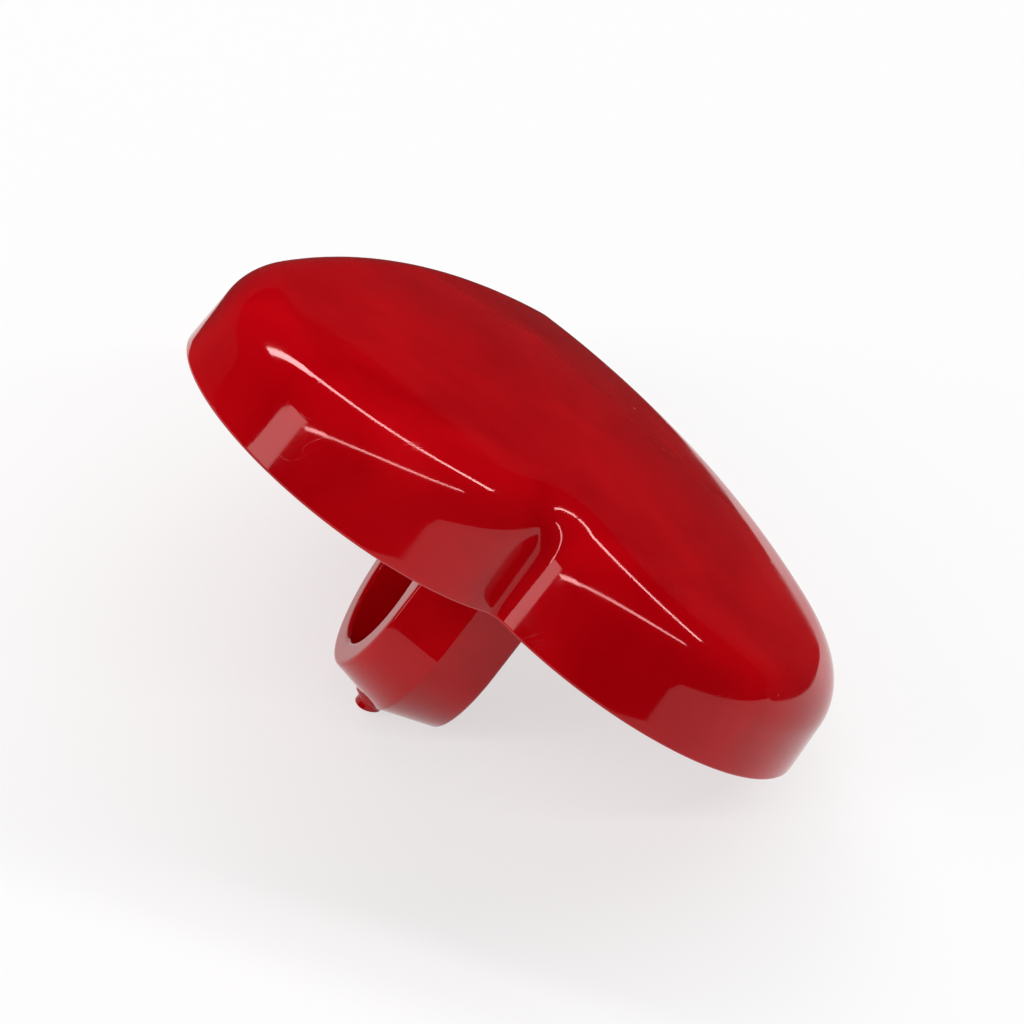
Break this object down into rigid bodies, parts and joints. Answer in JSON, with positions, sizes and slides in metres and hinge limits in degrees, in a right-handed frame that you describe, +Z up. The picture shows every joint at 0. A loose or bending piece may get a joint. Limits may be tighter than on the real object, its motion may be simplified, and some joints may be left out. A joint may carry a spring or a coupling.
{
  "type": "heart-shaped shank button",
  "caption": "Heart-shaped sew-on button in glossy red plastic, with a puffed face, a flat back and a moulded loop shank whose round hole takes the thread.",
  "frame": {"origin": "bottom centre of the bounding box of the resting button, on the floor", "axes": "+Z up from the floor; the button leans on the straight side of its heart at +X, whose foot runs along Y, and on the end of its shank; the notch is at -X -Y and the tip at +X +Y"},
  "size_m": [0.0124, 0.0138, 0.009],
  "materials": {
    "red_plastic": "injection-moulded, deep red all through, polished gloss"
  },
  "bodies": {
    "root": {"button": "red_plastic"}
  },
  "joints": []
}
